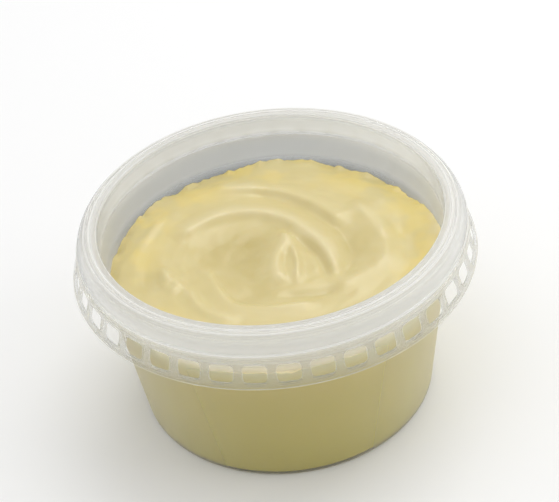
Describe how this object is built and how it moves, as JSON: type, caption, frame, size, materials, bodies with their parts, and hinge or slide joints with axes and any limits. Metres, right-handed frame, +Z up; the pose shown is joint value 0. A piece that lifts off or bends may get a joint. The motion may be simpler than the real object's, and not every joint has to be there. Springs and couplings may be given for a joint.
{
  "type": "plastic food pot filled with cream",
  "caption": "Round translucent plastic food pot with a flared skirt of small windows round its rim, open on top and filled with pale swirled cream.",
  "frame": {"origin": "middle of the foot, on the surface that the pot stands on", "axes": "+Z up along the pot's axis; the picture was taken from the -Y side, looking along +Y"},
  "size_m": [0.101, 0.101, 0.0538],
  "materials": {
    "pot_plastic": "translucent milky moulded plastic, satin",
    "cream": "smooth moist cream, soft gloss on its ridges"
  },
  "bodies": {
    "root": {"pot": "pot_plastic", "cream": "cream"}
  },
  "joints": []
}
